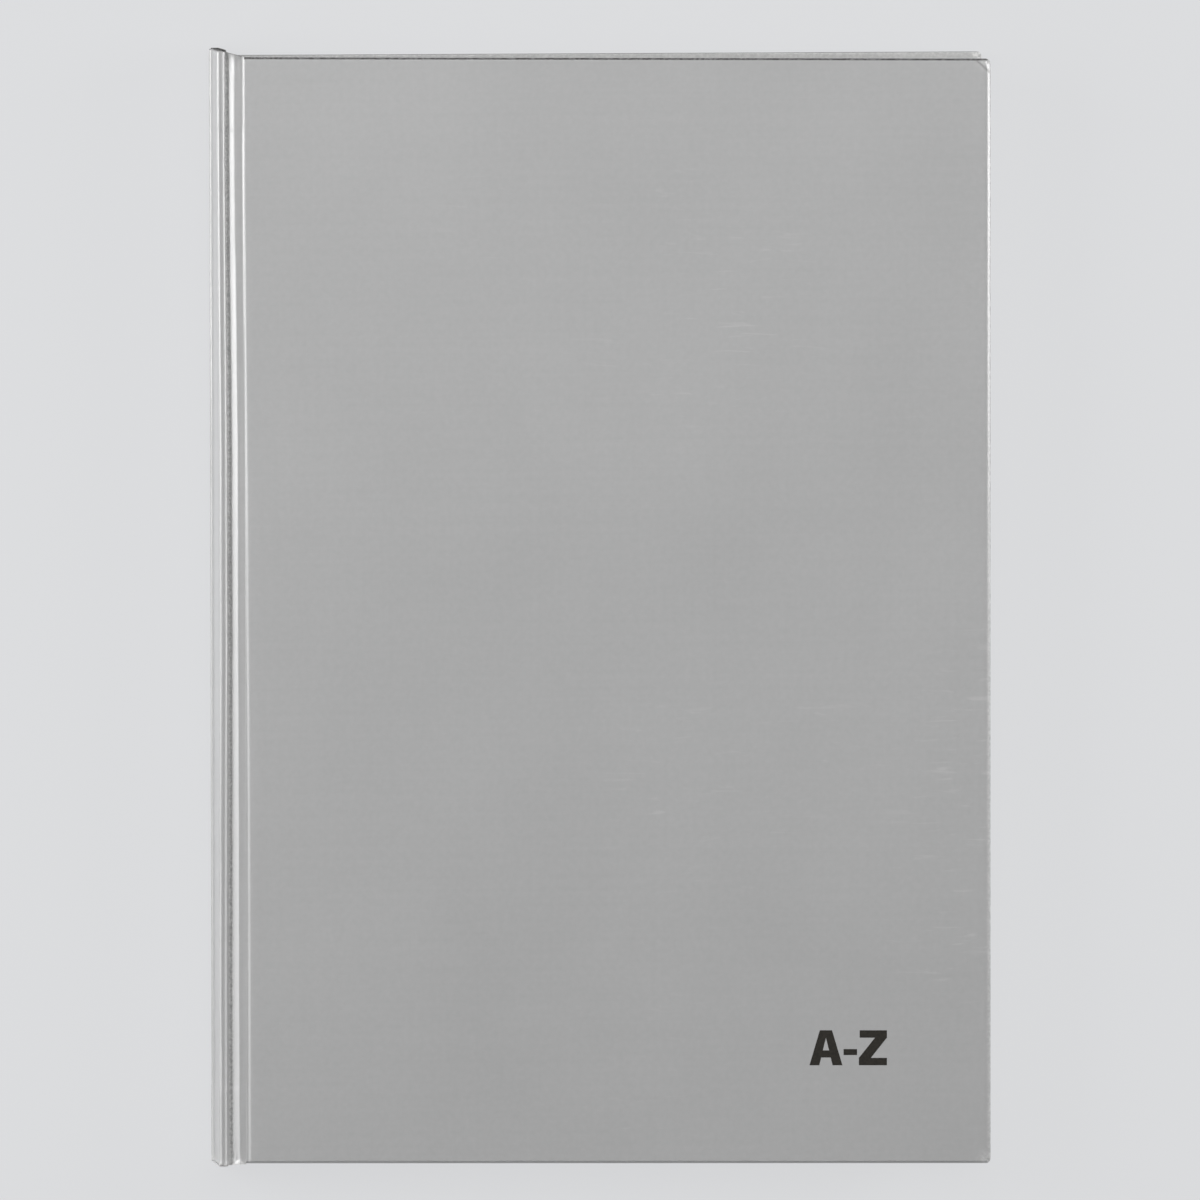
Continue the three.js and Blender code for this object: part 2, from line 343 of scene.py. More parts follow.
def blend_colours(finish, share, first, second):
    """Two colours mixed by a share."""
    mix = add_node(finish, "Mix", {"data_type": "RGBA"}, _0=share)
    for socket, colour in ((mix.inputs[6], first), (mix.inputs[7], second)):
        if isinstance(colour, bpy.types.NodeSocket):
            finish.node_tree.links.new(colour, socket)
        else:
            socket.default_value = (*colour, 1)
    return mix.outputs[2]


def plus(finish, first, second):
    """Two values added up."""
    return reckon(finish, "ADD", first, second)


def times(finish, first, second):
    """Two values multiplied."""
    return reckon(finish, "MULTIPLY", first, second)


def relief(finish, height, depth, strength=1.0):
    """A bump from a height, with its depth in metres."""
    return add_node(finish, "Bump", Height=height, Distance=depth, Strength=strength).outputs[0]


def surface(finish, out, **sockets):
    """The piece's shader, joined to the output."""
    shader = add_node(finish, "BsdfPrincipled", **sockets)
    finish.node_tree.links.new(shader.outputs[0], out.inputs["Surface"])


def cover_paper():
    """Silver-grey paper under satin film: clouds, fine mottling, faint cross lines, specks and scuffs, with
    painted light and shade carried by the mesh.
    """
    finish, out = paint("cover_paper")
    place = object_place(finish)
    clouds = grain(finish, place, 26, 3.0, 0.5)
    mottle = grain(finish, place, 900, 4.0, 0.6)
    lines = grain(finish, place, 1.0, 3.0, 0.6, (14, 900, 900))
    threads = grain(finish, place, 1.0, 3.0, 0.6, (900, 14, 900))
    tone = times(finish, clouds, 0.45)
    for part, share in ((mottle, 0.55), (lines, 0.22), (threads, 0.12)):
        tone = plus(finish, tone, times(finish, part, share))
    colour = blend_colours(finish, levels(finish, tone, 0.42, 0.92), COVER_DARK, COVER_LIGHT)
    # dust specks: about one to every few square centimetres, 0.2 mm across
    cells = add_node(finish, "TexVoronoi", {"feature": "F1"}, Vector=place, Scale=48.0)
    chosen = add_node(finish, "SeparateColor", Color=cells.outputs["Color"]).outputs[0]
    speck = levels(finish, cells.outputs["Distance"], 0.0035, 0.0065, 1, 0)
    speck = times(finish, speck, levels(finish, chosen, 0.80, 0.81))
    colour = blend_colours(finish, times(finish, speck, 0.75), colour, COVER_DUST)
    # rubbed places: faint pale scratches where a slow noise is high
    turned = add_node(finish, "Mapping", Vector=place, Scale=(120, 900, 900), Rotation=(0, 0, 0.12))
    scratches = add_node(
        finish, "TexNoise", {"noise_dimensions": "3D"},
        Vector=turned.outputs[0], Scale=1.0, Detail=2.0, Distortion=0.6,
    ).outputs[0]
    rub_spots = levels(finish, grain(finish, place, 17, 2.0, 0.5), 0.56, 0.70)
    pale_share = times(finish, levels(finish, scratches, 0.62, 0.72), rub_spots)
    colour = blend_colours(finish, times(finish, pale_share, 0.16), colour, COVER_WORN_AND_LIT)
    # wear on folds and corners, with painted light and painted highlight on edges, corners and creases,
    # carried by the mesh
    worn_and_lit = add_node(finish, "Attribute", {"attribute_name": "wear_and_painted_light"}).outputs["Fac"]
    mark_noise = grain(finish, place, 1500, 3.0, 0.7)
    worn_and_lit = times(finish, worn_and_lit, levels(finish, mark_noise, 0.40, 0.62, 0.15, 1))
    colour = blend_colours(finish, worn_and_lit, colour, COVER_WORN_AND_LIT)
    # painted shade on head-facing edges and along the knocked corner's crease, carried by the mesh; there the
    # coat and gloss are taken off too
    painted_shade_share = add_node(finish, "Attribute", {"attribute_name": "painted_shade"}).outputs["Fac"]
    painted_shade_share = times(finish, painted_shade_share, levels(finish, mark_noise, 0.35, 0.60, 0.55, 1))
    colour = blend_colours(finish, painted_shade_share, colour, COVER_PAINTED_SHADE)
    dull = plus(finish, times(finish, mottle, 0.5), times(finish, clouds, 0.5))
    dull = plus(finish, levels(finish, dull, 0.35, 0.65, 0.30, 0.38), times(finish, pale_share, 0.12))
    dull = plus(finish, dull, times(finish, painted_shade_share, 0.5))
    skin = plus(finish, times(finish, mottle, 0.6), times(finish, lines, 0.4))
    surface(
        finish, out, Base_Color=colour, Roughness=dull, Normal=relief(finish, skin, 0.03 * MM, 0.35),
        Coat_Weight=levels(finish, painted_shade_share, 0, 1, 1, 0), Coat_Roughness=0.20,
        Specular_IOR_Level=levels(finish, painted_shade_share, 0, 1, 0.5, 0.05),
    )
    return finish


COVER_PAPER = cover_paper()


def add_piece(name, points, faces, finish, slot, wear_and_painted_light=None, crease=35, painted_shade=None):
    """A mesh piece of the book from points in metres. Edges steeper than the crease angle stay sharp."""
    mesh = bpy.data.meshes.new(name)
    mesh.from_pydata([tuple(p) for p in points], [], faces)
    mesh.validate()
    mesh.materials.append(finish)
    flat_place = mesh.attributes.new("flat_place", "FLOAT_VECTOR", "POINT")
    flat_place.data.foreach_set("vector", [c / MM for p in points for c in p])
    for kind, values in (("wear_and_painted_light", wear_and_painted_light), ("painted_shade", painted_shade)):
        if values is not None:
            carried = mesh.attributes.new(kind, "FLOAT", "POINT")
            carried.data.foreach_set("value", np.asarray(values, np.float32))
    mesh.shade_smooth()
    mesh.set_sharp_from_angle(angle=math.radians(crease))
    piece = bpy.data.objects.new(name, mesh)
    bpy.context.scene.collection.objects.link(piece)
    return piece


def grids(rows, columns):
    """Two empty grids of points, for the two sides of a sheet."""
    return np.zeros((rows, columns, 3)), np.zeros((rows, columns, 3))


def closed_sheet(front, back, kept=None):
    """Points and faces of a sheet with two sides, from two grids of points. Cells not kept are left out."""
    rows, columns = front.shape[:2]
    if kept is None:
        kept = np.ones((rows - 1, columns - 1), bool)
    points, faces, used = [], [], {}

    def corner(side, i, j):
        """The number of one grid point on one side, added when it is first used."""
        if (side, i, j) not in used:
            used[side, i, j] = len(points)
            points.append((front, back)[side][i, j])
        return used[side, i, j]

    for i in range(rows - 1):
        for j in range(columns - 1):
            if not kept[i, j]:
                continue
            ring = [(i, j), (i + 1, j), (i + 1, j + 1), (i, j + 1)]
            faces.append([corner(0, *p) for p in ring])
            faces.append([corner(1, *p) for p in reversed(ring)])
            beyond = [(i, j - 1), (i + 1, j), (i, j + 1), (i - 1, j)]
            for side, (r, c) in enumerate(beyond):
                if 0 <= r < rows - 1 and 0 <= c < columns - 1 and kept[r, c]:
                    continue
                a, b = ring[side], ring[(side + 1) % 4]
                faces.append([corner(0, *b), corner(0, *a), corner(1, *a), corner(1, *b)])
    return points, faces


def cover_paper_piece(name, node, body, is_front):
    """The covering paper on one board, made from the outside in and then given its thickness."""
    low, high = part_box(node)
    width, height, depth = high.x - low.x, high.y - low.y, high.z - low.z
    near = [s * MM for s in NEAR_EDGE]
    middle = list(np.linspace(NEAR_JOINT[-1], (width - near[-1]) / MM, 19))[1:-1]
    across = {*(s * MM for s in NEAR_JOINT + middle), *(width - s for s in near), width - TURN_IN}
    along = {*np.linspace(near[-1], height - near[-1], 27)[1:-1], TURN_IN, height - TURN_IN}
    along |= {*near, *(height - s for s in near)}
    across, along = sorted(across), sorted(along)
    wall = [s * MM for s in WALL_STEPS]
    down = wall + [depth / 2] + [depth - s for s in reversed(wall)]
    points, faces, wear_and_painted_light, painted_shade, used = [], [], [], [], {}

    def place(i, j, k):
        """A grid corner of the board's box, rounded at the corners in plan and then at the edges."""
        if (i, j, k) in used:
            return used[i, j, k]
        u, v, d = across[i], along[j], down[k]
        side = 1 if v > height / 2 else -1
        from_end = height - v if side > 0 else v
        inset = min(width - u, from_end)
        plan = Vector((u, v))
        facing = Vector((1, 0)) if width - u < from_end else Vector((0, side))
        if width - u < CORNER_ROUNDING and from_end < CORNER_ROUNDING:
            centre_v = height - CORNER_ROUNDING if side > 0 else CORNER_ROUNDING
            centre = Vector((width - CORNER_ROUNDING, centre_v))
            reach = plan - centre
            longest = max(abs(reach.x), abs(reach.y))
            if longest > SAME_PLACE:
                facing = reach.normalized()
                plan = centre + facing * longest
        ease = max(inset, BOARD_ROUNDING), min(max(d, BOARD_ROUNDING), depth - BOARD_ROUNDING)
        bent = Vector((inset - ease[0], d - ease[1]))
        new_inset, new_d = inset, d
        if bent.length > SAME_PLACE:
            bent = bent.normalized() * BOARD_ROUNDING
            new_inset, new_d = ease[0] + bent.x, ease[1] + bent.y
        new_d += worn_drop(width - u) * fade(d, FORE_EDGE_WEAR_DEPTH)
        lean = END_LEAN * fade(d, END_LEAN_DEPTH) * fade(inset, END_LEAN_REACH) * abs(facing.y)
        plan = plan + facing * (inset - new_inset - lean)
        press = pressed_depth(low.x + plan.x - block_edge, low.y + plan.y)
        new_d += press * fade(d, PRESSED_DEPTH_REACH)
        # paler along the fore-edge and round the corners: rubbed film, and a painted highlight where these
        # edges catch the lamps
        pale_share = fade(width - u, RUBBED_AND_HIGHLIT_EDGE) * fade(d, RUBBED_AND_HIGHLIT_EDGE_DEPTH) * RUBBED_AND_HIGHLIT_EDGE_SHARE
        from_corner = math.hypot(width - u, from_end)
        if k < len(down) // 2 + 2:
            pale_share = max(pale_share, RUBBED_AND_HIGHLIT_CORNER_SHARE * fade(from_corner, RUBBED_AND_HIGHLIT_CORNER))
        # a painted glint on the back cover's head corner, shown as bare pale paper
        if from_corner < BARE_AND_GLINTING_CORNER and side > 0 and not is_front:
            pale_share = 1.0
        # painted light on the inside of the back cover's head, which lies in the front cover's shade
        if not is_front and side > 0 and d > depth / 2:
            pale_share = max(pale_share, PAINTED_LIGHT_HEAD_SHARE * fade(from_end, PAINTED_LIGHT_HEAD))
        # painted shade: on the head edge's wall, which faces away from the lamps, and along the knocked
        # corner's crease
        painted_shade_here = 0.0
        if side > 0 and from_end < PAINTED_HEAD_SHADE_REACH and width - u > PAINTED_HEAD_SHADE_STOP:
            painted_shade_here = at(PAINTED_HEAD_SHADE, (d if is_front else depth - d) / MM)
        if is_front and side > 0:
            new_d += knocked(width - plan.x, height - plan.y, d)
            # painted shade along the knocked corner's crease, and a painted highlight on its bent facet
            past, creased = past_knock(width - plan.x, height - plan.y)
            painted_shade_here = max(painted_shade_here, KNOCK_PAINTED_SHADE * creased)
            pale_share = max(pale_share, KNOCK_PAINTED_HIGHLIGHT * held(past / KNOCK_DEEP - 0.3))
        x, y = low.x + plan.x, low.y + plan.y
        z = high.z - new_d if is_front else low.z + new_d
        used[i, j, k] = len(points)
        points.append((*(askew(x, y) if is_front else (x, y)), z))
        wear_and_painted_light.append(pale_share)
        painted_shade.append(painted_shade_here)
        return used[i, j, k]

    last = len(down) - 1
    for i in range(len(across) - 1):
        for j in range(len(along) - 1):
            ring = [(i, j), (i + 1, j), (i + 1, j + 1), (i, j + 1)]
            faces.append([place(*p, 0) for p in ring])
            at_end = along[j + 1] <= TURN_IN + SAME_PLACE or along[j] >= height - TURN_IN - SAME_PLACE
            if at_end or across[i] >= width - TURN_IN - SAME_PLACE:
                faces.append([place(*p, last) for p in reversed(ring)])
        for k in range(last):
            for j, order in ((0, 1), (len(along) - 1, -1)):
                ring = [place(i, j, k + 1), place(i + 1, j, k + 1), place(i + 1, j, k), place(i, j, k)]
                faces.append(ring[::order])
    edge = len(across) - 1
    for j in range(len(along) - 1):
        for k in range(last):
            ring = [(j, k), (j, k + 1), (j + 1, k + 1), (j + 1, k)]
            faces.append([place(edge, *p) for p in ring])
    if not is_front:
        faces = [face[::-1] for face in faces]
    piece = add_piece(name, points, faces, COVER_PAPER, "cover_paper", wear_and_painted_light, crease=60, painted_shade=painted_shade)
    thicken = piece.modifiers.new("paper", "SOLIDIFY")
    thicken.thickness = PAPER_THICKNESS
    thicken.offset = -1
    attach(piece, body)
    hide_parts(node)


cover_paper_piece("back_cover_paper", "back_cover_wrap", "root", False)
cover_paper_piece("front_cover_paper", "front_cover_wrap", "front_cover", True)


# The greyboard in each cover, 2 mm thick: raw grey board, its edges eased by the guillotine and the
# press, and its joint side pressed down with the paper. The strip in the spine is cut from the same.

# places near the board's edges, in millimetres
BOARD_PLACES = [0, 0.06, 0.15, 0.28, 0.5, 1.0]
BOARD_EASE = 0.5 * MM
BOARD_LEAN_REACH = 1.4 * MM
BOARD_DARK = (0.17, 0.155, 0.135)
BOARD_PALE = (0.33, 0.31, 0.275)
# the board's edge lies this far inside the paper's
BOARD_INSET = 0.23 * MM

greyboard, greyboard_out = paint("greyboard")
board_place = object_place(greyboard)
board_flock = grain(greyboard, board_place, 260, 5.0, 0.7)
board_layers = grain(greyboard, board_place, 3.0, 2.0, stretch=(4, 4, 900))
board_tone = plus(greyboard, board_flock, times(greyboard, board_layers, 0.5))
board_tone = levels(greyboard, board_tone, 0.45, 1.05)
surface(
    greyboard, greyboard_out, Base_Color=blend_colours(greyboard, board_tone, BOARD_DARK, BOARD_PALE),
    Roughness=0.95, Normal=relief(greyboard, board_flock, 0.12 * MM, 0.6),
)


def board_piece(name, node, body, is_front):
    """One cover's board, as a grid over its outer face and one over its inner face."""
    low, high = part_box(node)
    width, height = high.x - low.x, high.y - low.y
    edge = [s * MM for s in BOARD_PLACES]
    across = [s * MM for s in NEAR_JOINT]
    across += [*np.linspace(across[-1], width - edge[-1], 14)[1:-1], *(width - s for s in reversed(edge))]
    along = [*edge, *np.linspace(edge[-1], height - edge[-1], 24)[1:-1]]
    along += [height - s for s in reversed(edge)]
    outer, inner = grids(len(across), len(along))
    for i, u in enumerate(across):
        for j, v in enumerate(along):
            x, y = low.x + u, low.y + v
            from_end = min(v, height - v)
            ease = 0.3 * BOARD_EASE * fade(min(width - u, from_end), BOARD_EASE) ** 2
            drawn_in = END_LEAN * fade(from_end, BOARD_LEAN_REACH) * (1 if v < height / 2 else -1)
            press = pressed_depth(x - block_edge, y) + worn_drop(width - u + BOARD_INSET)
            if is_front:
                press += knocked(width - u + BOARD_INSET, height - v + BOARD_INSET, 0.0)
                outer[i, j] = (*askew(x, y + drawn_in), high.z - ease - press)
                inner[i, j] = (*askew(x, y), low.z + ease)
            else:
                outer[i, j], inner[i, j] = (x, y + drawn_in, low.z + ease + press), (x, y, high.z - ease)
    points, faces = closed_sheet(*((outer, inner) if is_front else (inner, outer)))
    piece = add_piece(name, points, faces, greyboard, "greyboard", crease=40)
    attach(piece, body)
    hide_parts(node)


board_piece("back_greyboard", "back_board", "root", False)
board_piece("front_greyboard", "front_board", "front_cover", True)


# The index mark near the foot of the front cover: A to Z in plain heavy strokes of black ink,
# 7 mm high. The film lies over the ink, so it stands up by only a hair.

INK_LIFT = 0.012 * MM
INK_SINK = 0.01 * MM
# the A's left foot, from the joint's side of the board and up from the tail, and the strokes, in millimetres
MARK_FOOT = (110.7, 19.2)
CAPITAL_HEIGHT = 6.85
A_WIDTH, A_TOP, A_STROKE, A_INNER_SLOPE, A_COUNTER_TOP, A_BAR = 6.5, 2.4, 1.94, 0.235, 5.4, (1.52, 2.91)
DASH_LEFT, DASH_RIGHT, DASH_LOW, DASH_HIGH = 6.72, 9.38, 2.0, 3.17
Z_LEFT, Z_RIGHT, Z_STROKE, Z_SLANT, Z_TOP_INSET = 9.75, 15.27, 1.45, 2.35, 0.15
INK_DARK = (0.013, 0.011, 0.008)
INK_WORN = (0.027, 0.023, 0.017)


def ink():
    """Black printing ink under film."""
    finish, out = paint("black_ink")
    place = object_place(finish)
    cover = grain(finish, place, 2200, 3.0, 0.6)
    tone = levels(finish, cover, 0.35, 0.75)
    surface(
        finish, out, Base_Color=blend_colours(finish, tone, INK_DARK, INK_WORN),
        Roughness=levels(finish, cover, 0.3, 0.7, 0.48, 0.60), Specular_IOR_Level=0.35,
        Normal=relief(finish, cover, 0.02 * MM, 0.3),
    )
    return finish


BLACK_INK = ink()


def flat_strokes(outlines, base, top, origin):
    """Points and faces of flat plates from outlines in millimetres, each run counter-clockwise."""
    points, faces = [], []
    for outline in outlines:
        first, count = len(points), len(outline)
        for z in (base, top):
            points += [(origin[0] + x * MM, origin[1] + y * MM, z) for x, y in outline]
        faces.append([first + count + i for i in range(count)])
        faces.append([first + i for i in reversed(range(count))])
        for i in range(count):
            following = (i + 1) % count
            faces.append([first + i, first + following, first + count + following, first + count + i])
    return points, faces


def letter_a():
    """The A as three plates that share edges: its feet with the bar, and the upper half of each leg."""
    low, high = A_BAR
    middle, top_left = A_WIDTH / 2, (A_WIDTH - A_TOP) / 2
    inner = [A_STROKE + A_INNER_SLOPE * y for y in (0, low, high)]
    outer = top_left / CAPITAL_HEIGHT * high
    left_foot = [(outer, high), (0, 0), (inner[0], 0), (inner[1], low)]
    left_leg = [(outer, high), (inner[2], high), (middle, A_COUNTER_TOP)]
    left_leg += [(middle, CAPITAL_HEIGHT), (top_left, CAPITAL_HEIGHT)]
    right_foot, right_leg = (
        [(A_WIDTH - x, y) for x, y in reversed(outline)] for outline in (left_foot, left_leg)
    )
    return [left_foot + right_foot, left_leg, right_leg]


letter_z = [
    (Z_LEFT, 0), (Z_RIGHT, 0), (Z_RIGHT, Z_STROKE), (Z_LEFT + Z_SLANT, Z_STROKE),
    (Z_RIGHT, CAPITAL_HEIGHT - Z_STROKE), (Z_RIGHT, CAPITAL_HEIGHT), (Z_LEFT + Z_TOP_INSET, CAPITAL_HEIGHT),
    (Z_LEFT + Z_TOP_INSET, CAPITAL_HEIGHT - Z_STROKE), (Z_RIGHT - Z_SLANT, CAPITAL_HEIGHT - Z_STROKE),
    (Z_LEFT, Z_STROKE),
]
dash = [(DASH_LEFT, DASH_LOW), (DASH_RIGHT, DASH_LOW), (DASH_RIGHT, DASH_HIGH), (DASH_LEFT, DASH_HIGH)]
mark_points, mark_faces = flat_strokes(
    [*letter_a(), dash, letter_z], front_high.z - INK_SINK, front_high.z + INK_LIFT,
    (front_low.x + MARK_FOOT[0] * MM, front_low.y + MARK_FOOT[1] * MM),
)
mark_points = [(*askew(x, y), z) for x, y, z in mark_points]
index_mark = add_piece("index_mark", mark_points, mark_faces, BLACK_INK, "cover_paper", crease=20)
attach(index_mark, "front_cover")


# The spine: the same paper glued round a strip of board with rounded long edges. It is turned
# in over both ends, 15 mm down the hollow side, and the doubled paper shows as a faint step.

# the strip's long edge, as distance out from its middle and depth below its top, in millimetres
STRIP_EDGE = [
    (0.0, 0.10), (0.12, 0.095), (0.26, 0.08), (0.38, 0.055), (0.47, 0.045), (0.56, 0.075), (0.66, 0.135),
    (0.76, 0.20), (0.85, 0.265), (0.92, 0.35), (0.96, 0.46), (0.98, 0.62),
]
# its face, as share of the height up from the table and how far it lies in, in millimetres
STRIP_FACE = [
    (0.93, 0.02), (0.90, 0.06), (0.86, 0.12), (0.78, 0.21), (0.70, 0.28), (0.60, 0.34), (0.50, 0.39),
    (0.40, 0.43), (0.30, 0.46), (0.20, 0.48), (0.14, 0.49), (0.10, 0.49), (0.085, 0.47), (0.0755, 0.415),
    (0.069, 0.31), (0.0625, 0.17), (0.056, 0.05), (0.05, 0.0),
]
# places along the folded ends and the turned-in steps, from an end, in millimetres
END_PLACES = [
    0, 0.03, 0.07, 0.12, 0.18, 0.26, 0.35, 0.5, 0.8, 1.2, 1.8, 2.6, 3.6, 4.8, 6.2, 7.8, 9.6, 11.4, 13.0,
    14.0, 14.4, 14.6, 14.8, 15.0, 15.2, 15.4, 15.8, 16.6,
]
SPINE_END_ROUNDING = 0.35 * MM
STEP_HEIGHT = 0.05 * MM
STEP_WIDTH = 0.8 * MM
WAVE_ACROSS = 0.03 * MM
STRIP_UNDER_PAPER = 0.29 * MM
# how far up the tail the folded paper is frayed, and down from the head it carries painted shade
TAIL_FRAYED = 1.4 * MM
HEAD_PAINTED_SHADE = 0.25 * MM


def wave(y, seed, length):
    """A slow wander along the book, from about -1 to 1."""
    return noise.noise(Vector((y / length, seed * 7.31, seed * 1.7))) * 1.6


def eased(share):
    """A share held between 0 and 1 that starts and ends gently."""
    share = held(share)
    return share * share * (3 - 2 * share)


def turned_in_step(y, low_y, high_y):
    """How far the paper stands out where it is doubled near the ends."""
    inner = min(high_y - TURN_IN - y, y - low_y - TURN_IN)
    return STEP_HEIGHT * eased(0.5 - inner / STEP_WIDTH)


spine_low, spine_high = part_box("spine_wrap")
strip_low, strip_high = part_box("spine_board")
spine_radius = (strip_high.x - strip_low.x) / 2 + PAPER_THICKNESS + 0.03 * MM
spine_middle = (strip_high.x + strip_low.x) / 2
spine_foot = spine_low.z + spine_radius
spine_head = spine_high.z - spine_radius


def along_stations(low_y, high_y, spacing):
    """Places along the book: close together at the ends and at the turned-in steps."""
    near = [s * MM for s in END_PLACES]
    count = int((high_y - low_y - 2 * near[-1]) / spacing)
    middle = list(np.linspace(low_y + near[-1], high_y - near[-1], count))[1:-1]
    return [low_y + s for s in near] + middle + [high_y - s for s in reversed(near)]


def line_normal(line):
    """Which way is out from the book, along a line across it."""
    run = np.gradient(line, axis=0)
    run /= np.linalg.norm(run, axis=1)[:, None]
    return np.stack([run[:, 1], -run[:, 0]], axis=1)


def spine_outline():
    """The line from the strip's upper middle, down its face, to its lower middle, and which way is out."""
    tall = spine_high.z - spine_low.z
    outline = [(spine_middle - x * MM, spine_high.z - depth * MM) for x, depth in STRIP_EDGE]
    outline += [(spine_low.x + inset * MM, spine_low.z + share * tall) for share, inset in STRIP_FACE]
    outline += [(spine_middle - x * MM, spine_low.z + depth * MM) for x, depth in reversed(STRIP_EDGE)]
    outline = np.array(outline)
    return outline, line_normal(outline)


def strip_shift(y, z):
    """How far the strip's upper part has wandered across the book."""
    return drift(STRIP_DRIFT, y) * held((z - spine_low.z) / (8 * MM) - 0.6)


def spine_board_piece():
    """The strip of board under the paper: its face follows the paper, and its hollow side is flat."""
    outline, normal = spine_outline()
    shell = outline - normal * STRIP_UNDER_PAPER
    turns = np.radians(np.linspace(12, 90, 8))
    half = (strip_high.x - strip_low.x) / 2
    upper, lower = (
        [(spine_middle + half * math.sin(t), centre + rise * math.cos(t)) for t in turns]
        for centre, rise in ((spine_head, shell[0, 1] - spine_head), (spine_foot, shell[-1, 1] - spine_foot))
    )
    heights = np.linspace(spine_head, spine_foot, len(shell) + 2 - 2 * len(turns))
    hollow_side = upper + [(strip_high.x, z) for z in heights[1:-1]] + lower[::-1]
    places = np.linspace(strip_low.y, strip_high.y, 60)
    outer, inner = grids(len(places), len(shell))
    for r, y in enumerate(places):
        for grid, line in ((outer, shell), (inner, hollow_side)):
            grid[r] = [(x + strip_shift(y, z), y, z) for x, z in line]
    points, faces = closed_sheet(outer, inner)
    piece = add_piece("spine_greyboard", points, faces, greyboard, "greyboard", crease=40)
    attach(piece, "spine")
    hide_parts("spine_board")


def run_along(route, r):
    """The way that a route runs at one of its points."""
    before, after = route[max(r - 1, 0)], route[min(r + 1, len(route) - 1)]
    return Vector((after[0] - before[0], after[1] - before[1])).normalized()


def join(points, faces, more):
    """Adds the points and faces of one more sheet to a piece."""
    first = len(points)
    points += more[0]
    faces += [[first + p for p in face] for face in more[1]]


def spine_paper_piece():
    """The paper over the strip's outer side, with the flaps turned in down its hollow side at both ends."""
    places = along_stations(spine_low.y, spine_high.y, 2.5 * MM)
    outline, normal = spine_outline()
    outside, inside = grids(len(places), len(outline))
    for r, y in enumerate(places):
        from_end = min(y - spine_low.y, spine_high.y - y)
        sink = STEP_HEIGHT - turned_in_step(y, spine_low.y, spine_high.y)
        if from_end < SPINE_END_ROUNDING:
            round_in = SPINE_END_ROUNDING - from_end
            sink += SPINE_END_ROUNDING - math.sqrt(SPINE_END_ROUNDING ** 2 - round_in ** 2)
        for index, (place, out) in enumerate(zip(outline, normal)):
            wander = WAVE_ACROSS * wave(y, 3 + index * 0.16, 34 * MM)
            here = place - out * (sink + max(0.0, wander))
            under = here - out * PAPER_THICKNESS * 0.9
            moved = strip_shift(y, place[1])
            outside[r, index] = (here[0] + moved, y, here[1])
            inside[r, index] = (under[0] + moved, y, under[1])
    points, faces = closed_sheet(outside, inside)
    # end caps and the turned-in flaps on the hollow side, one folded sheet at each end
    hollow_x = spine_middle + spine_radius
    heights = np.linspace(spine_foot + 0.7 * MM, spine_head - 0.7 * MM, 7)
    for end, tip in ((-1, spine_low.y), (1, spine_high.y)):
        route = [(spine_middle - spine_radius * 0.72, tip), (spine_middle, tip), (hollow_x - 0.3 * MM, tip)]
        route.append((hollow_x - 0.09 * MM, tip - end * 0.09 * MM))
        route += [(hollow_x, tip - end * reach) for reach in (0.3 * MM, 5 * MM, 10 * MM, TURN_IN)]
        front, back = grids(len(route), len(heights))
        for r, (x, y) in enumerate(route):
            out = run_along(route, r).yx * end * PAPER_THICKNESS
            for c, z in enumerate(heights):
                front[r, c] = (x, y, z)
                back[r, c] = (x - out.x, y + out.y, z)
        join(points, faces, closed_sheet(*((front, back) if end > 0 else (back, front))))
    # pale where frayed at the tail; painted shade at the head's very end, which faces away from the lamps
    wear_and_painted_light = [fade(y - spine_low.y, TAIL_FRAYED) * 0.7 for x, y, z in points]
    painted_shade = [fade(spine_high.y - y, HEAD_PAINTED_SHADE) * 0.8 for x, y, z in points]
    piece = add_piece("spine_paper", points, faces, COVER_PAPER, "cover_paper", wear_and_painted_light, crease=50, painted_shade=painted_shade)
    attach(piece, "spine")
    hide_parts("spine_wrap")


spine_board_piece()
spine_paper_piece()


# The joints: where the paper runs on from the spine to each board it is pressed down into a groove with a hot
# iron. It is folded in at the head and tail. In the real book it bends when a cover turns; here it is one
# fixed piece.

# across the joint from the block's back edge, and depth below the cover's face, in millimetres,
# as far as the board's pressed edge
GROOVE_LINE = [
    (-1.30, 0.40), (-1.20, 0.395), (-1.10, 0.37), (-1.00, 0.325), (-0.92, 0.275), (-0.84, 0.235),
    (-0.76, 0.225), (-0.70, 0.25), (-0.65, 0.34), (-0.61, 0.50), (-0.57, 0.71), (-0.53, 0.92), (-0.48, 1.10),
    (-0.41, 1.215), (-0.32, 1.26), (-0.22, 1.255), (-0.12, 1.22), (-0.02, 1.17), (0.12, 1.095), (0.30, 0.993),
    (0.50, 0.88), (0.70, 0.768), (0.90, 0.66), (1.08, 0.565), (1.24, 0.488), (1.40, 0.428), (1.55, 0.403),
    (1.70, 0.40), (1.90, 0.40), (2.20, 0.40),
]
BOARD_START = 3.10
TO_BOARD = [2.3, 2.4, 2.5, 2.6, 2.68, 2.76, 2.84, 2.92, 3.0, 3.05, BOARD_START]
# in millimetres: how far the pressed line wanders, how deep the ends are crumpled, and how far that reaches
PRESS_WANDER = 0.06
END_WRINKLE = 0.26
END_CRUMPLED = 5.5
END_UNPRESSED = 0.30
END_SLANT = 6 * MM
# painted light along the crease's bottom, where it lies in shade: its middle and half its width, in
# millimetres, and its share
CREASE_MIDDLE = -0.33
CREASE_REACH = 0.62
CREASE_PAINTED_LIGHT = 0.95


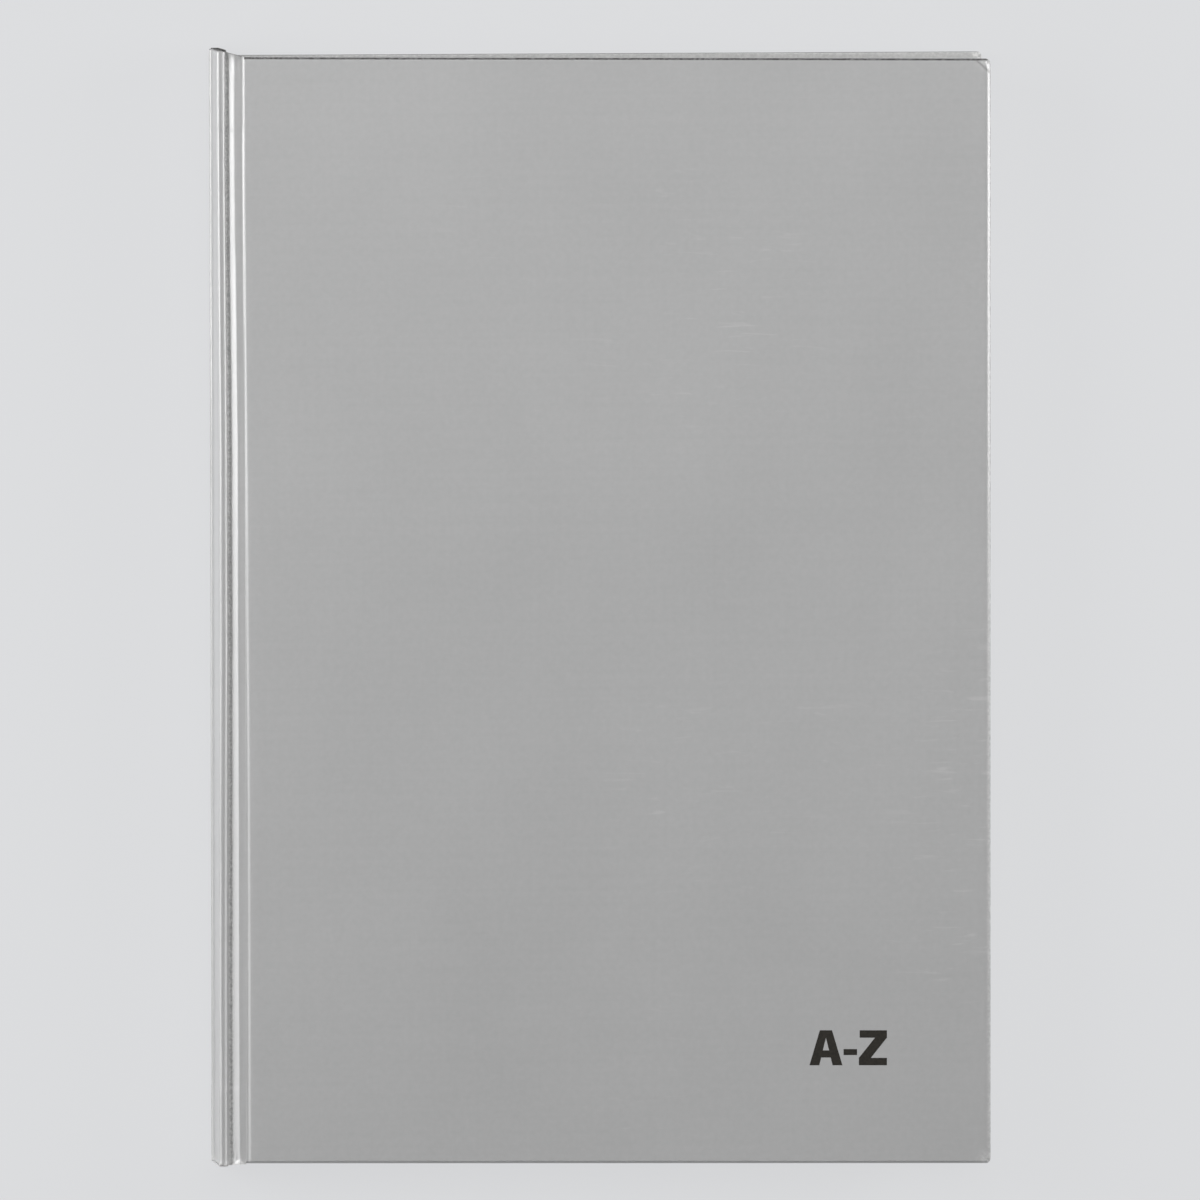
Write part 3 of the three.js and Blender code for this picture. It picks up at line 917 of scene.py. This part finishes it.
def joint_ends(x, is_front):
    """Where the joint's folded head and tail end, at a place across it in millimetres."""
    board_high, board_low = (front_high.y, front_low.y) if is_front else (back_high.y, back_low.y)
    toward = held((x - GROOVE_LINE[0][0]) / (BOARD_START - GROOVE_LINE[0][0]))
    head_end = (spine_high.y - 0.05 * MM) * (1 - toward) + (board_high + 0.05 * MM) * toward
    tail_end = (spine_low.y + 0.05 * MM) * (1 - toward) + (board_low - 0.05 * MM) * toward
    return head_end, tail_end


def slanted_end(x, y, low_y, high_y, is_front):
    """A place along the joint, moved so that the folded ends run from the spine's ends to the board's."""
    head_end, tail_end = joint_ends(x, is_front)
    if y > high_y - END_SLANT:
        return y + (head_end - high_y) * (y - high_y + END_SLANT) / END_SLANT
    if y < low_y + END_SLANT:
        return y + (tail_end - low_y) * (low_y + END_SLANT - y) / END_SLANT
    return y


def joint_line(path, y, low_y, high_y, is_front):
    """The joint's line at one place along the book, in millimetres, with the small faults of pressing."""
    from_end = min(y - low_y, high_y - y) / MM
    row = path.copy()
    free = np.clip((row[:, 0] + 0.75) / 0.5, 0, 1) * np.clip((2.7 - row[:, 0]) / 0.5, 0, 1)
    if is_front:
        strip, crease = drift(STRIP_DRIFT, y) / MM, drift(CREASE_DRIFT, y) / MM
        row[:, 0] += np.interp(row[:, 0], (-0.75, -0.35, 1.0, 2.3), (strip, crease, crease, 0))
    seed = 1 if is_front else 5
    row[:, 0] += PRESS_WANDER * wave(y, seed, 42 * MM) * free
    row[:, 1] += 0.55 * PRESS_WANDER * wave(y, seed + 1, 30 * MM) * free
    for c in range(len(row)):
        fine = noise.noise(Vector((row[c, 0] * 0.9, y / (5.5 * MM), seed * 3.3)))
        row[c, 1] += 0.03 * fine * free[c]
        if from_end < END_CRUMPLED:
            crumple = noise.noise(Vector((row[c, 0] * 1.3, y / (1.3 * MM), seed * 9.1)))
            row[c, 1] += END_WRINKLE * crumple * free[c] * (1 - from_end / END_CRUMPLED)
        # at the very ends the folded paper is not pressed quite so deep
        row[c, 1] -= END_UNPRESSED * free[c] * fade(from_end, 1.6) ** 2
    return row


def joint_paper_piece(name, node, is_front):
    """The paper across one joint, swept along the book."""
    low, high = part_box(node)
    face = front_high.z if is_front else back_low.z
    drop = (face - spine_high.z if is_front else spine_low.z - face) / MM
    places = along_stations(low.y, high.y, 2.0 * MM)
    path = np.array(GROOVE_LINE + [(x, 0.0) for x in TO_BOARD])
    # the back cover's side starts from a strip edge that lies level with the board
    path[:, 1] += (drop - 0.3) * np.clip((0.3 - path[:, 0]) / 0.9, 0, 1)
    outside, inside = grids(len(places), len(path))
    for r, y in enumerate(places):
        thick = (turned_in_step(y, low.y, high.y) - STEP_HEIGHT) / MM
        row = path.copy()
        for c in range(len(GROOVE_LINE), len(row)):
            row[c, 1] = pressed_depth(row[c, 0] * MM, y) / MM
        row = joint_line(row, y, low.y, high.y, is_front)
        normal = line_normal(row)
        row += normal * (thick * np.clip((3.0 - row[:, 0]) / 0.5, 0, 1))[:, None]
        under = row - normal * (PAPER_THICKNESS / MM * 0.9)
        for grid, line_here in ((outside, row), (inside, under)):
            depth = line_here[:, 1] * MM
            grid[r, :, 0] = block_edge + line_here[:, 0] * MM
            grid[r, :, 1] = [slanted_end(x, y, low.y, high.y, is_front) for x in line_here[:, 0]]
            grid[r, :, 2] = face - depth if is_front else face + depth
    points, faces = closed_sheet(*((outside, inside) if is_front else (inside, outside)))
    # painted shade at the head's very end, pale where it is frayed at the tail, and painted light along the
    # crease
    wear_and_painted_light, painted_shade = [], []
    for x, y, z in points:
        head_end, tail_end = joint_ends((x - block_edge) / MM, is_front)
        crease = (drift(CREASE_DRIFT, y) if is_front else 0) / MM + CREASE_MIDDLE
        from_crease = abs((x - block_edge) / MM - crease)
        # painted light along the crease's bottom, which lies in shade
        pale_share = min(CREASE_PAINTED_LIGHT, 1.5 * (1 - from_crease / CREASE_REACH))
        wear_and_painted_light.append(max(fade(y - tail_end, TAIL_FRAYED) * 0.6, pale_share))
        painted_shade.append(fade(head_end - y, HEAD_PAINTED_SHADE) * 0.7)
    piece = add_piece(name, points, faces, COVER_PAPER, "cover_paper", wear_and_painted_light, crease=50, painted_shade=painted_shade)
    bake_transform(piece)
    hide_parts(node)


joint_paper_piece(
    "front_joint_paper", "front_joint_wrap", True,
)
joint_paper_piece(
    "back_joint_paper", "back_joint_wrap", False,
)


# The endpapers: off-white paper, folded once at the joint. Half is pasted inside the cover, where
# the turned-in edges show through as a step, and half is a free flyleaf against the leaves.

STEP_EASE = 1.6 * MM
PASTEDOWN_SINK = 0.19 * MM
ENDPAPER_THICKNESS = 0.146 * MM
BOX_CLEARANCE = 0.002 * MM
# from the joint's outer face to the middle of the endpaper under it, in millimetres
UNDER_JOINT = 0.33
# how far the fold stands back from the block's edge, in millimetres
FOLD_BACK = 0.10
# its way from under the groove down the board's edge: across and depth, in millimetres
DOWN_BOARD = [(2.45, 0.78), (2.60, 0.92), (2.68, 1.15), (2.71, 1.5), (2.73, 1.9), (2.77, 2.2), (2.87, 2.42)]
ENDPAPER_PALE = (0.80, 0.79, 0.75)
ENDPAPER_SHADE = (0.74, 0.725, 0.68)
FLECK_SHADE = 0.72


def plain_paper(name, pale, shade, ruled):
    """Uncoated paper: fibre flecks, soft clouding and a faint felt side, and printed rules on the leaves."""
    finish, out = paint(name)
    place = object_place(finish)
    clouds = grain(finish, place, 60, 3.0, 0.5)
    felt = grain(finish, place, 1400, 4.0, 0.65)
    fibres = grain(finish, place, 1.0, 2.0, 0.6, (350, 2400, 2400))
    tone = plus(finish, times(finish, clouds, 0.4), times(finish, felt, 0.6))
    colour = blend_colours(finish, levels(finish, tone, 0.35, 0.7), shade, pale)
    flecks = levels(finish, fibres, 0.66, 0.78, 0, 0.22)
    colour = blend_colours(finish, flecks, colour, tuple(c * FLECK_SHADE for c in shade))
    if ruled:
        # the rules keep to the sheet as it bends: its flat place is carried by the mesh, in millimetres
        flat = add_node(finish, "Attribute", {"attribute_name": "flat_place"}).outputs["Vector"]
        across, along = add_node(finish, "SeparateXYZ", Vector=flat).outputs[:2]
        offset = reckon(finish, "FRACT", reckon(finish, "DIVIDE", along, RULE_PITCH / MM))
        from_line = reckon(finish, "ABSOLUTE", plus(finish, offset, -0.5))
        ink = levels(finish, from_line, RULE_WIDTH / RULE_PITCH / 2, RULE_WIDTH / RULE_PITCH, 1, 0)
        for way, edge, before in (
            (along, RULE_FOOT, 0), (along, RULE_HEAD, 1), (across, RULE_LEFT, 0), (across, RULE_RIGHT, 1),
        ):
            ink = times(finish, ink, levels(finish, way, edge / MM, edge / MM + 0.1, before, 1 - before))
        colour = blend_colours(finish, times(finish, ink, RULE_SHARE), colour, RULE_COLOUR)
    surface(
        finish, out, Base_Color=colour, Roughness=levels(finish, felt, 0.3, 0.7, 0.82, 0.95),
        Normal=relief(finish, plus(finish, felt, fibres), 0.03 * MM, 0.4),
    )
    return finish


ENDPAPER = plain_paper("endpaper", ENDPAPER_PALE, ENDPAPER_SHADE, False)
turned_in_x, turned_in_tail, turned_in_head = (
    front_high.x - TURN_IN, front_low.y + TURN_IN, front_high.y - TURN_IN
)


def endpaper_sheet(name, node, body, pasted):
    """A flyleaf, or a half pasted down (1) or up (-1) to its board, sunk inside the turned-in edges."""
    low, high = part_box(node)
    across = set(np.linspace(low.x, high.x, 30))
    along = set(np.linspace(low.y, high.y, 40))
    if pasted:
        for step in (0, 0.25 * STEP_EASE, 0.5 * STEP_EASE, 0.75 * STEP_EASE, STEP_EASE):
            across.add(turned_in_x - step)
            along |= {turned_in_tail + step, turned_in_head - step}
    across = sorted(x for x in across if low.x <= x <= high.x)
    along = sorted(y for y in along if low.y <= y <= high.y)
    outer, inner = grids(len(across), len(along))
    for i, x in enumerate(across):
        for j, y in enumerate(along):
            from_step = min(turned_in_x - x, y - turned_in_tail, turned_in_head - y)
            dip = BOX_CLEARANCE + (PASTEDOWN_SINK * eased(from_step / STEP_EASE) if pasted else 0)
            if pasted < 0:
                outer[i, j] = (*askew(x, y), low.z + dip + ENDPAPER_THICKNESS)
                inner[i, j] = (*askew(x, y), low.z + dip)
            else:
                outer[i, j] = (x, y, high.z - dip)
                inner[i, j] = (x, y, high.z - dip - ENDPAPER_THICKNESS)
    piece = add_piece(name, *closed_sheet(outer, inner), ENDPAPER, "endpaper")
    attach(piece, body)
    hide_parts(node)


def endpaper_fold_piece():
    """The front endpaper across the joint: up from its fold, along under the groove, and down the board."""
    low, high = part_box("front_endpaper_hinge")
    joint_low, joint_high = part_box("front_joint_wrap")
    # the paper's middle lies a little less deep than the foot of its box
    fold_depth, edge_depth = (front_high.z - low.z) / MM - 0.08, (front_high.z - high.z) / MM
    across = np.array(GROOVE_LINE)
    under_groove = [c for c in range(len(across)) if across[c, 0] > -0.15]
    to_board = [*DOWN_BOARD, (2.99, edge_depth + 0.07), (3.09, edge_depth + 0.08)]
    shares = np.linspace(0, 1, 7)[:-1]
    places = np.linspace(low.y, high.y, 110)
    outside, inside = grids(len(places), len(shares) + len(under_groove) + len(to_board))
    for r, y in enumerate(places):
        row = joint_line(across, y, joint_low.y, joint_high.y, True)
        row -= line_normal(row) * UNDER_JOINT
        top_x, top_depth = row[under_groove[0]]
        climb = top_depth - fold_depth
        rise = [(top_x * t ** 1.5 - FOLD_BACK * (1 - t), fold_depth + climb * t) for t in shares]
        line = np.array([*rise, *row[under_groove], *to_board])
        normal = line_normal(line) * ENDPAPER_THICKNESS / MM / 2
        for grid, side in ((outside, line + normal), (inside, line - normal)):
            grid[r, :, 0] = block_edge + side[:, 0] * MM
            grid[r, :, 1] = y
            grid[r, :, 2] = front_high.z - side[:, 1] * MM
    piece = add_piece("front_endpaper_fold", *closed_sheet(outside, inside), ENDPAPER, "endpaper", crease=50)
    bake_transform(piece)
    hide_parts("front_endpaper_hinge")


endpaper_fold_piece()
for node, body, pasted in (
    ("back_pastedown", "root", 1), ("front_pastedown", "front_cover", -1),
    ("back_flyleaf", "root", 0), ("front_flyleaf", "front_flyleaf", 0),
):
    endpaper_sheet(node + "_sheet", node, body, pasted)


# The leaves: 24 sections of two folded sheets each, so four leaves a section, sewn through the
# fold. Each section is ruled, and cut back 7 mm below its own tab to make the thumb index.

leaf_low, leaf_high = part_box("section_XYZ")
RULE_PITCH = 7 * MM
RULE_WIDTH = 0.16 * MM
RULE_HEAD = leaf_high.y - 14 * MM
RULE_FOOT = leaf_low.y + 6 * MM
RULE_LEFT = leaf_low.x + 6 * MM
RULE_RIGHT = leaf_high.x - 8 * MM
RULE_COLOUR = (0.33, 0.42, 0.52)
RULE_SHARE = 0.8
LEAF_PALE = (0.86, 0.85, 0.80)
LEAF_SHADE = (0.80, 0.785, 0.73)
TAB_DEPTH = 7 * MM
LEAF_THICKNESS = 0.074 * MM
# the inner sheet's fold lies this far inside the outer one's
INNER_FOLD = 0.086 * MM
# places across a leaf, from its fold, in millimetres: close together where it bends
LEAF_PLACES = [0.4, 1, 2, 4, 7, 11, 15, 19, 23, 27, 40, 60, 85, 110, 130]

LEAF_PAPER = plain_paper("leaf_paper", LEAF_PALE, LEAF_SHADE, True)
leaf_bodies = {node: body for body, nodes in frame["record"]["behaviour"]["bodies"].items() for node in nodes}
labels = [*"ABCDEFGHIJKLMNOPQRSTUVW", "XYZ"]


def folded_sheet(low, high, tab_foot, is_last, fold_radius, middle_z):
    """One sheet folded at the spine: its lower leaf, the fold and its upper leaf, with the index cut out."""
    across = [*(low.x + fold_radius + x * MM for x in LEAF_PLACES), high.x - TAB_DEPTH, high.x]
    middle = fold_radius - LEAF_THICKNESS / 2
    route = [(x, middle_z - middle) for x in reversed(across)]
    for step in range(7):
        angle = -math.pi / 2 - step / 6 * math.pi
        route.append((low.x + fold_radius + middle * math.cos(angle), middle_z + middle * math.sin(angle)))
    route += [(x, middle_z + middle) for x in across]
    along = sorted({low.y, high.y, tab_foot, *np.linspace(low.y, high.y, 9)[1:-1]})
    front, back = grids(len(route), len(along))
    for r, (x, z) in enumerate(route):
        run = run_along(route, r)
        normal = Vector((-run.y, run.x)) * LEAF_THICKNESS / 2
        for c, y in enumerate(along):
            front[r, c] = (x + normal.x, y, z + normal.y)
            back[r, c] = (x - normal.x, y, z - normal.y)
    # below its own tab the fore-edge is cut away, but for the last section
    kept = np.ones((len(route) - 1, len(along) - 1), bool)
    if not is_last:
        for c in range(len(along) - 1):
            if along[c + 1] <= tab_foot + SAME_PLACE:
                kept[0, c] = kept[-1, c] = False
    return closed_sheet(front, back, kept)


def section_piece(index, label):
    """Two folded sheets, one in the other, carried by their group's body, or baked in place when the section
    is a body of its own.
    """
    node = f"section_{label}"
    low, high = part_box(node)
    middle_z = (low.z + high.z) / 2
    tab_foot = high.y - (index + 1) * (high.y - low.y) / len(labels)
    outer_fold = (high.z - low.z) / 2 - BOX_CLEARANCE
    points, faces = [], []
    for fold in (outer_fold, outer_fold - INNER_FOLD):
        join(points, faces, folded_sheet(low, high, tab_foot, index == len(labels) - 1, fold, middle_z))
    piece = add_piece(f"leaves_{label}", points, faces, LEAF_PAPER, "leaf_paper", crease=50)
    body = leaf_bodies[node]
    if body == node:
        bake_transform(piece)
    else:
        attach(piece, body)
    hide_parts(node)


for index, label in enumerate(labels):
    section_piece(index, label)


# The letters on the index tabs: plain black capitals printed on the first leaf of each section,
# each in the middle of its own tab.

LETTER_SIZE = 6.2 * MM
WIDE_LABEL_SIZE = 3.6 * MM
LETTER_LIFT = 0.012 * MM

for index, label in enumerate(labels):
    low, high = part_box(f"section_{label}")
    tab_height = (high.y - low.y) / len(labels)
    lettering = bpy.data.curves.new(f"tab_letter_{label}", "FONT")
    lettering.body = label
    lettering.align_x = lettering.align_y = "CENTER"
    lettering.size = LETTER_SIZE if len(label) == 1 else WIDE_LABEL_SIZE
    lettering.extrude = LETTER_LIFT / 2
    lettering.resolution_u = 4
    drawn = bpy.data.objects.new(f"drawn_{label}", lettering)
    bpy.context.scene.collection.objects.link(drawn)
    bpy.context.view_layer.update()
    outline = bpy.data.meshes.new_from_object(drawn.evaluated_get(bpy.context.evaluated_depsgraph_get()))
    bpy.data.objects.remove(drawn)
    outline.transform(Matrix.Translation((
        high.x - TAB_DEPTH / 2, high.y - (index + 0.5) * tab_height, high.z + LETTER_LIFT / 2,
    )))
    outline.materials.clear()
    outline.materials.append(BLACK_INK)
    letter = bpy.data.objects.new(f"tab_letter_{label}", outline)
    bpy.context.scene.collection.objects.link(letter)
    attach(letter, leaf_bodies[f"section_{label}"])


# The spine lining: open starched gauze glued over the sewn folds. The real one bends with the
# block. Here it is one band to each group of sections that turns by itself.

LINING_THREAD_PITCH = 1.1 * MM
LINING_SWELL = 0.03 * MM
THREAD_PALE = (0.74, 0.71, 0.62)
THREAD_SHADE = (0.50, 0.44, 0.32)


def gauze():
    """Open cotton gauze in glue: crossed threads with the glue shining a little between them."""
    finish, out = paint("lining_gauze")
    place = object_place(finish)
    ways = add_node(finish, "SeparateXYZ", Vector=place).outputs[1:]
    ridges = [reckon(finish, "SINE", times(finish, way, 2 * math.pi / LINING_THREAD_PITCH)) for way in ways]
    fuzz = grain(finish, place, 1800, 3.0, 0.6)
    thread = plus(finish, reckon(finish, "MAXIMUM", *ridges), times(finish, fuzz, 0.5))
    surface(
        finish, out,
        Base_Color=blend_colours(finish, levels(finish, thread, 0.3, 1.2), THREAD_SHADE, THREAD_PALE),
        Roughness=levels(finish, thread, 0.3, 1.0, 0.55, 0.95), Normal=relief(finish, thread, 0.06 * MM, 0.7),
    )
    return finish


GAUZE = gauze()
lining_low, lining_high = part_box("spine_lining")
for body, nodes in frame["record"]["behaviour"]["bodies"].items():
    if not nodes[0].startswith("section_"):
        continue
    ends = [corner.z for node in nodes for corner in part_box(node)]
    places = np.linspace(lining_low.y, lining_high.y, 40)
    heights = np.linspace(min(ends), max(ends), 3 + 2 * len(nodes))
    outer, inner = grids(len(places), len(heights))
    for r, y in enumerate(places):
        for c, z in enumerate(heights):
            swell = LINING_SWELL * noise.noise(Vector((y / (3 * MM), z / (0.7 * MM), 4.4)))
            outer[r, c] = (lining_low.x + LINING_SWELL + swell, y, z)
            inner[r, c] = (lining_high.x, y, z)
    band = add_piece(f"lining_{body}", *closed_sheet(outer, inner), GAUZE, "lining_cloth")
    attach(band, body)
    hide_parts("spine_lining")
